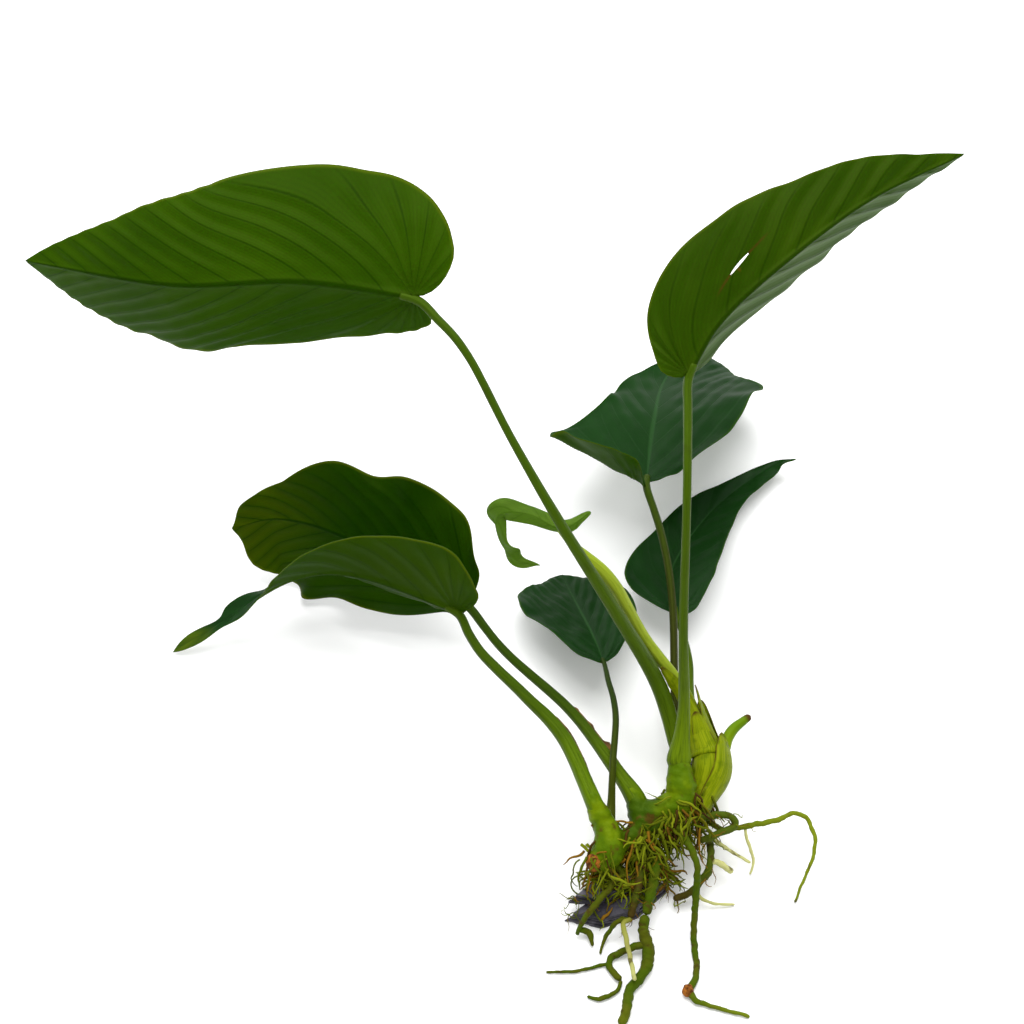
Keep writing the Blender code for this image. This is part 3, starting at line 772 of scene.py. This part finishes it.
def spine(node, start=BEHIND):
    """A packed tube's middle line as rows (x, y, z, radius), from its end nearer to start."""
    bm = bmesh.new()
    bm.from_mesh(packed(node))
    bmesh.ops.remove_doubles(bm, verts=bm.verts, dist=0.00001)
    bm.verts.index_update()
    rim = {}
    for edge in bm.edges:
        if edge.calc_face_angle(0) > RIM_ANGLE:
            for v in edge.verts:
                rim.setdefault(v, []).append(edge.other_vert(v))
    ring, todo = set(), [next(iter(rim))]
    while todo:
        v = todo.pop()
        if v not in ring:
            ring.add(v)
            todo += rim[v]
    seen, line = set(ring), []
    while len(ring) > 5:
        points = np.array([v.co for v in sorted(ring, key=lambda v: v.index)]) / MM - SHIFT
        middle = points.mean(0)
        line.append((*middle, np.linalg.norm(points - middle, axis=1).mean()))
        ring = {e.other_vert(v) for v in ring for e in v.link_edges} - seen
        seen |= ring
    bm.free()
    line = np.array(line)
    first, last = np.linalg.norm(line[[0, -1], :3] - start, axis=1)
    return line if first <= last else line[::-1]


def at(line, share):
    """The row at a share of a line's length."""
    return smooth(line, LINE_STEPS + 1)[0][round(share * LINE_STEPS)]


def nearest(line, point):
    fine = smooth(line, LINE_STEPS + 1)[0]
    return fine[np.linalg.norm(fine[:, :3] - point[:3], axis=1).argmin()]


def rooted(line, source):
    """A line lengthened back into the row that it grows from."""
    return np.vstack([(*source[:3], min(source[3], line[0, 3])), line])


# ---- leaf stalks: material, what each grows from and where along it, swelling at the foot ----
STALKS = {
    "upper_left": (STALK, "rhizome_right", 0.4, 0.25),
    "upper_right": (STALK, "rhizome_right", 0.9, 0.45),
    "back": (SHADED_FOOT_STALK, "growing_tip", 0.35, 0.2),
    "narrow": (STALK, "growing_tip", 0.5, 0.1),
    "small": (DARK_STALK, "rhizome_left", 0.55, 0.8),
    "rear_left": (SHADED_STALK, "rhizome_middle", 0.8, 0.3),
    "front_left": (SIDE_STALK, "rhizome_left", 0.9, 0.15),
    "young": (YOUNG_STALK, "growing_tip", 0.75, 0.2),
}


def channelled(run, angle):
    """A stalk's cross-section: faint ribs, and a shallow channel on one side near its foot."""
    groove = 0.14 * (1 - run) * np.exp(-(np.minimum(angle, math.tau - angle) / 0.4) ** 2)
    return 1 + 0.025 * np.cos(7 * angle) - groove


for name, (mat, source, share, swell) in STALKS.items():
    line = rooted(spine("stalk_" + name), at(spine(source), share))
    midrib = BLADES["blade_" + name].line
    joint = np.linalg.norm(midrib - line[-1, :3], axis=1).argmin()
    line = np.vstack([line, (*midrib[joint + 3], 0.9 * line[-1, 3])])
    slot = "young_growth" if name == "young" else "stalk"
    ob = stem("stalk_" + name + "_fine", line, [mat], slot, profile=channelled, rough=0.03,
              grain=6, swell=swell)
    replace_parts(ob, "stalk_" + name)


# ---- rhizome: one skin over its packed lengths and what joins them ----
SKIN_AROUND = 24
SKIN_SMOOTHS = 9
GROWTH = (0.15, 0.8, 0.55)    # the way the rhizome has grown, which its leaf scars lie square to


def skin_over(name, lines, mat, voxel, rough, grain):
    """One skin over several stems, with rings of old leaf scars."""
    verts, faces, total = [], [], 0
    for rows in lines:
        line, length = smooth(rows, max(8, round(smooth(rows, 8)[1] / 0.5)))
        reach = np.linspace(0, length, len(line))
        radius = line[:, 3]
        for end in (reach, length - reach):
            radius = radius * np.sqrt(np.clip(1 - (1 - np.clip(end / 1.6, 0, 1)) ** 2, 0.05, 1))
        verts.append(rings(line[:, :3], radius, SKIN_AROUND)[0].reshape(-1, 3))
        faces += tube_faces(len(line), SKIN_AROUND, total)
        total += len(verts[-1])
    me = bpy.data.meshes.new(name + "_core")
    me.from_pydata(to_world(np.vstack(verts)).tolist(), [], faces)
    core = bpy.data.objects.new(name + "_core", me)
    bpy.context.scene.collection.objects.link(core)
    remesh = core.modifiers.new("skin", "REMESH")
    remesh.mode = "VOXEL"
    remesh.voxel_size = voxel * MM
    graph = bpy.context.evaluated_depsgraph_get()
    skin = bpy.data.meshes.new_from_object(core.evaluated_get(graph))
    bpy.data.objects.remove(core)
    bm = bmesh.new()
    bm.from_mesh(skin)
    for _ in range(SKIN_SMOOTHS):
        bmesh.ops.smooth_vert(bm, verts=bm.verts, factor=0.5, use_axis_x=True, use_axis_y=True,
                              use_axis_z=True)
    bm.to_mesh(skin)
    bm.free()
    points = plant_points(skin)
    out = np.array([v.normal for v in skin.vertices])
    wave = np.sin(points @ unit(GROWTH) * 3.1)
    scars = 0.035 * np.sign(wave) * np.abs(wave) ** 0.4
    points = points + out * (scars + rough * ripple(points, grain))[:, None]
    faces = [tuple(p.vertices) for p in skin.polygons]
    return new_object(name, points, faces, [mat], weld=0)


LEFT, MIDDLE, RIGHT = (spine("rhizome_" + side) for side in ("left", "middle", "right"))
TIP = spine("growing_tip")


def bridge(a, b, radius):
    """A short stem that joins two rows through a place a little under their middle."""
    middle = (a + b) / 2 - (0, 0.8, 0.4, 0)
    return np.array([(*row[:3], radius) for row in (a, middle, b)])


def foot(name, share, radius):
    """The rhizome's skin carried up onto a stalk's foot."""
    line = spine("stalk_" + name)
    source = at(spine(STALKS[name][1]), share)
    low, high = line[0], at(line, 0.05)
    return np.array([(*source[:3], radius), (*low[:3], 1.12 * low[3]), (*high[:3], 0.96 * high[3])])


feet = [foot(*row) for row in (("upper_left", 0.6, 3.8), ("upper_right", 0.5, 4.3),
                               ("rear_left", 0.6, 3.4), ("front_left", 0.8, 3.2))]
bridges = [bridge(at(a, i), at(b, j), radius) for a, i, b, j, radius in (
    (MIDDLE, 0.7, RIGHT, 0.4, 3.4), (LEFT, 0.45, MIDDLE, 0.3, 2.7),
    (MIDDLE, 0.4, RIGHT, 0.1, 2.9), (RIGHT, 0.3, TIP, 0.15, 2.4))]
ob = skin_over("rhizome_fine", [LEFT, MIDDLE, RIGHT, *feet, *bridges], RHIZOME, 0.3,
               0.22, 1.8)
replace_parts(ob, "rhizome_left", "rhizome_middle", "rhizome_right")

heel = at(LEFT, 0.15)
cut_way = unit((-0.7, -0.5, 0.5))
stem("cut_end_fine", [(*(heel[:3] + cut_way * (heel[3] + d)), r)
                      for d, r in ((-2.0, 2.5), (-0.4, 2.7), (0.8, 2.2))],
     [SCAR], "old_root", step=0.15, around=40, rough=0.14, grain=0.6)

ob = stem("growing_tip_fine", rooted(TIP, at(RIGHT, 0.3)), [BRACT], "young_growth", step=0.4,
          around=36, rough=0.07)
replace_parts(ob, "growing_tip")
shoot = spine("side_shoot")
joint = (at(TIP, 0.9) + shoot[0]) / 2
horn = np.vstack([(*at(TIP, 0.7)[:3], 3.0), (*joint[:3], 2.4), shoot])
ob = stem("side_shoot_fine", horn, [horn_material(smooth(horn, 8)[1])], "young_growth", step=0.3)
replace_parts(ob, "side_shoot")

# scales round the growing tip: turn about it (0 faces up and forward), half spread, the stretch
# of the axis that each covers, and how far its end stands off
BRACTS = [(-75, 95, 0.05, 0.86, 0.5), (70, 92, 0.1, 0.74, 1.4), (-10, 74, 0.02, 0.6, 1.0),
          (120, 74, 0.2, 0.66, 2.0), (-35, 60, 0.3, 0.98, 0.6), (40, 56, 0.0, 0.42, 1.6)]
BRACT_ROWS, BRACT_CELLS, AXIS_POINTS = 56, 37, 160
axis = smooth(np.vstack([TIP, spine("stalk_young")[1:5]]), AXIS_POINTS)[0]
sides = list(frames(axis[:, :3], (0.0, -0.57, 0.82)))
for k, (turn, spread, first, last, stand) in enumerate(BRACTS):
    u, v = np.meshgrid(np.linspace(0, 1, BRACT_ROWS), np.linspace(-1, 1, BRACT_CELLS),
                       indexing="ij")
    spot = first + (last - first) * u
    index = np.rint(spot * (AXIS_POINTS - 1)).astype(int)
    thick = np.maximum(axis[index, 3], 1.7)
    uneven = ripple(np.stack([spot * 30, v * 4, spot * 0], -1), 3)
    gap = 0.12 + 0.2 * k + stand * u ** 3 + 0.12 * uneven
    angle = np.radians(turn + spread * v * np.sqrt(np.maximum(1 - u ** 1.2, 0.0002)))
    side, over = (np.array(q)[index] for q in zip(*sides))
    out = side * np.cos(angle)[..., None] + over * np.sin(angle)[..., None]
    shell = axis[index, :3] + out * (thick + gap)[..., None]
    for row in range(1, BRACT_ROWS - 1):
        shell[row] = (shell[row - 1] + 2 * shell[row] + shell[row + 1]) / 4
    thin = np.full(u.shape, 0.1)
    verts, faces, kind = sheet(shell, out, thin, thin)
    new_object("bract_%d_fine" % (k + 1), verts, faces, [SCALE],
               sheet_uvs(u, v))

# ---- roots: material, and what each grows from ----
ROOTS = {
    "hairpin": (OLD_ROOT, "rhizome_right"), "long_right": (ROOT, "growing_tip"),
    "right_spur": (PALE_ROOT, "root_long_right"), "pale_right": (PALE_ROOT, "root_hairpin"),
    "stub_right": (PALE_ROOT, "root_loop"), "under_tip": (ROOT, "rhizome_right"),
    "loop": (OLD_ROOT, "root_hairpin"), "front": (ROOT, "rhizome_right"),
    "fine_right": (PALE_ROOT, "root_loop"), "over_stone_left": (ROOT, "rhizome_left"),
    "over_stone_middle": (OLD_ROOT, "rhizome_middle"), "over_stone_right": (ROOT, "rhizome_middle"),
    "centre": (ROOT, "root_over_stone_right"), "cream": (PALE_ROOT, "root_over_stone_middle"),
    "fork": (ROOT, "root_centre"), "fork_left": (ROOT, "root_fork"),
    "fork_low": (ROOT, "root_fork"), "stub_left": (ROOT, "root_over_stone_left"),
    "left": (ROOT, "root_over_stone_middle"),
}
ROOT_SLOTS = {id(ROOT): "root", id(OLD_ROOT): "old_root", id(PALE_ROOT): "pale_root"}
for k, (name, (mat, source)) in enumerate(ROOTS.items()):
    line = spine("root_" + name, CROWN)
    line = rooted(line, nearest(spine(source, CROWN), line[0]))
    ob = stem("root_" + name + "_fine", line, [mat], ROOT_SLOTS[id(mat)], step=0.3, around=14,
              rough=0.26, grain=1.1, seed=3.7 * k, wander=0.25)
    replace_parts(ob, "root_" + name)

# the knob on the front root: where its lower end, past KNOB_BELOW, lies furthest left
KNOB_BELOW = -108
front = spine("root_front", CROWN)
front = front[front[:, 1] <= KNOB_BELOW]
knob = front[front[:, 0].argmin()]
stem("root_knob_fine", [(*(knob[:3] + (dx, dy, 0.2)), r) for dx, dy, r in
                        ((-0.9, -1.6, 0.9), (-0.4, 0, 1.35), (0.4, 1.4, 0.9))],
     [SCAR], "old_root", step=0.2, around=20, rough=0.2, grain=0.8)


# ---- slate: thin splits lying on each other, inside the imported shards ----
SPLIT_POINTS = 70


def splits(node, count):
    """A packed shard as thin layers, each a little smaller than the one below."""
    points = plant_points(packed(node))
    low, high = points[:, 2].min(), points[:, 2].max()
    base = points[points[:, 2] < low + 0.5, :2]
    centre = base.mean(0)
    outline = base[np.argsort(np.arctan2(*(base - centre).T[::-1]))]
    closed = np.vstack([outline, outline[:1]])
    run = run_along(closed)
    place = np.linspace(0, run[-1], SPLIT_POINTS, endpoint=False)
    ring = np.stack([np.interp(place, run, q) for q in closed.T], axis=1)
    verts, faces = [], []
    for k in range(count):
        share = 1 - 0.05 * k - random.uniform(0, 0.06)
        chip = np.abs([noise.noise(Vector((i * 0.24, k * 7.3, low))) for i in range(SPLIT_POINTS)])
        chip = 1 - chip * 0.09
        edge = centre + (ring - centre) * share * chip[:, None]
        bottom = low + (high - low) * k / count
        top = bottom + (high - low) / count * random.uniform(0.8, 0.97)
        first = len(verts)
        for z, inset in ((bottom, 0.99), (bottom + 0.1, 1.0), (top - 0.15, 0.995), (top, 0.975)):
            level = centre + (edge - centre) * inset
            lean = 0.02 * (level[:, 0] - centre[0]) if bottom > low else 0
            verts += np.column_stack([level, np.full(SPLIT_POINTS, z) + lean]).tolist()
        faces += tube_faces(4, SPLIT_POINTS, first)
    verts = np.array(verts)
    verts[:, 2] = np.clip(verts[:, 2], low + (FLOOR_GAP if low < 1 else 0), high + 0.3)
    ob = new_object(node + "_fine", verts, faces, [SLATE], weld=0)
    ob.data.set_sharp_from_angle(angle=math.radians(22))
    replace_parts(ob, node)


splits("slate_lower", 4)
splits("slate_upper", 3)

# ---- dry scraps: torn strips on the right edge of the two left stalks ----
for k, side_name in enumerate(("rear", "front")):
    node = "dry_sheath_" + side_name
    low, high = (np.array(c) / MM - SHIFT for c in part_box(node))
    line = smooth(spine("stalk_" + side_name + "_left"), 400)[0]
    line = line[(line[:, 1] > low[1]) & (line[:, 1] < high[1])]
    way = unit(np.gradient(line[:, :3], axis=0))
    out = unit(np.cross(way, (0, -0.5, 0.85)))
    out = out * np.sign(out[:, :1])
    share = np.linspace(0, 1, len(line))
    ragged = 0.3 + 0.9 * ease(ripple(line[:, :3], 5.0, 3.1 * k), -0.1, 0.5)
    ragged = ragged * (1 + 0.15 * ripple(line[:, :3], 0.9))
    ragged = ragged * ease(share, 0, 0.2) * ease(1 - share, 0, 0.1)
    width = np.linspace(-0.5, 1, 9)[None, :, None] * ragged[:, None, None]
    mid = line[:, None, :3] + out[:, None, :] * (0.93 * line[:, None, 3:] + width)
    facing = facing_of(mid)
    thin = np.full(mid.shape[:2], 0.06)
    verts, faces, kind = sheet(mid, facing, thin, thin)
    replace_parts(new_object(node + "_fine", verts, faces, [DRY]), node)

# ---- rootlets that lie over the stone ----
STONES = [BVHTree.FromPolygons([v.co for v in stone.vertices], [p.vertices for p in stone.polygons])
          for stone in (packed("slate_lower"), packed("slate_upper"))]


def rest_height(p):
    """Height of the stone, or of the ground, under a point."""
    above = Vector(to_world((p[0], p[1], 40)))
    hits = [tree.ray_cast(above, Vector((0, 0, -1)))[0] for tree in STONES]
    return max([0.0] + [hit.z / MM for hit in hits if hit])


def strand(start, way, length, radius, around=6, curl=0.35, fall=0.25):
    """One wandering rootlet, as rings of vertices."""
    steps = max(5, round(length / 1.1))
    p, way = np.array(start, float), unit(way)
    line = [p.copy()]
    for _ in range(steps):
        way = unit(way + curl * np.array([random.gauss(0, 1) for _ in range(3)]) - (0, 0, fall))
        p = p + way * length / steps
        rest = rest_height(p) + 0.9 * radius + FLOOR_GAP
        if p[2] < rest:
            p[2] = rest
            way = unit(way * (1, 1, 0.2))
        line.append(p.copy())
    line = smooth(line, steps * 2)[0]
    line[:, 2] = np.maximum(line[:, 2], 1.1 * radius + FLOOR_GAP)
    taper = radius * (1 - 0.7 * np.linspace(0, 1, len(line)) ** 2)
    rows = rings(line, taper, around)[0]
    middle = line[:, None, :]
    return middle + (rows - middle) * (1 + 0.25 * ripple(rows, 0.9))[..., None], around


def strands(name, made):
    """One piece from many rootlets, each with its own random tone."""
    verts, faces, tone, total = [], [], [], 0
    for rows, around in made:
        verts.append(rows.reshape(-1, 3))
        faces += tube_faces(len(rows), around, total)
        total += rows.shape[0] * around
        tone.append(np.full(rows.shape[0] * around, random.random()))
    new_object(name, np.vstack(verts), faces, [FIBRE], weld=0,
               values={"tone": np.concatenate(tone)})


def anchors(node, count, keep):
    """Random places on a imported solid."""
    points = [p for p in plant_points(packed(node)) if keep(p)]
    return [points[random.randrange(len(points))] for _ in range(count)]


mat_roots = []
for node, count in (("rhizome_left", 50), ("rhizome_middle", 200), ("rhizome_right", 150),
                    ("growing_tip", 16)):
    half_way = plant_points(packed(node))[:, 1].mean()
    for p in anchors(node, count, lambda p: p[1] < half_way):
        p = p + np.array([random.gauss(0, 1.8), random.gauss(-1.5, 1.8), random.gauss(-1.0, 1.0)])
        way = (random.gauss(0.1, 0.9), -1.0, random.gauss(-0.2, 0.4))
        mat_roots.append(strand(p, way, random.uniform(5, 13), random.uniform(0.18, 0.42),
                                curl=0.26))
strands("root_mat_fine", mat_roots)

creepers = []
# the upper shard is bare stone on its left
bare = plant_points(packed("slate_upper"))[:, 0].min() + 7
for node, count in (("slate_upper", 190), ("slate_lower", 10)):
    for p in anchors(node, count, lambda p: p[2] > 1.5 and p[0] > bare):
        way = (random.choice((-1, 1)) * random.uniform(0.6, 1.4), random.gauss(0.2, 0.5), 0.1)
        creepers.append(strand(p, way, random.uniform(4, 10), random.uniform(0.2, 0.42)))
strands("stone_roots_fine", creepers)

threads = []
for node, count in (("slate_upper", 36), ("slate_lower", 14), ("root_over_stone_right", 20),
                    ("root_over_stone_middle", 20), ("root_hairpin", 16), ("root_loop", 12)):
    for p in anchors(node, count, lambda p: p[2] > 1.0):
        way = (random.gauss(0.1, 1), random.gauss(-0.4, 0.8), random.gauss(0.1, 0.5))
        threads.append(strand(p, way, random.uniform(2, 7), random.uniform(0.09, 0.18), 5, 0.6,
                              0.12))
strands("root_threads_fine", threads)

# ---- floor, light and camera ----
bpy.ops.mesh.primitive_plane_add(size=6.0, location=(0, 0, 0))
floor = bpy.context.active_object
floor.name = "floor"
paper = Shade("white_table", 0.9, 0.0)
paper.colour((0.93, 0.93, 0.93, 1))
paper.shader.inputs["Emission Color"].default_value = (0.97, 1.0, 0.98, 1)
paper.shader.inputs["Emission Strength"].default_value = 0.1
floor.data.materials.append(paper.mat)

world = bpy.data.worlds.new("studio")
bpy.context.scene.world = world
world.use_nodes = True
background = world.node_tree.nodes["Background"].inputs
background["Color"].default_value = (1, 1, 1, 1)
background["Strength"].default_value = 0.75


def area_light(name, place, aim, size, watts):
    data = bpy.data.lights.new(name, "AREA")
    data.shape = "DISK"
    data.size = size
    data.energy = watts
    ob = bpy.data.objects.new(name, data)
    ob.location = place
    ob.rotation_euler = (Vector(aim) - Vector(place)).to_track_quat("-Z", "Y").to_euler()
    bpy.context.scene.collection.objects.link(ob)


area_light("overhead", (0.05, 0.25, 1.1), (0, 0, 0.05), 0.9, 13)
area_light("rear", (-0.5, 1.0, 0.7), (0, 0, 0.06), 0.7, 6)

camera = bpy.data.objects.new("camera", bpy.data.cameras.new("camera"))
camera.data.lens = 85
camera.data.sensor_width = 36
camera.data.clip_start = 0.01
camera.location = (0.0045, -0.3286, 0.5352)
camera.rotation_euler = (math.radians(35), 0, 0)
bpy.context.scene.collection.objects.link(camera)
bpy.context.scene.camera = camera
bpy.context.scene.view_settings.view_transform = "Standard"
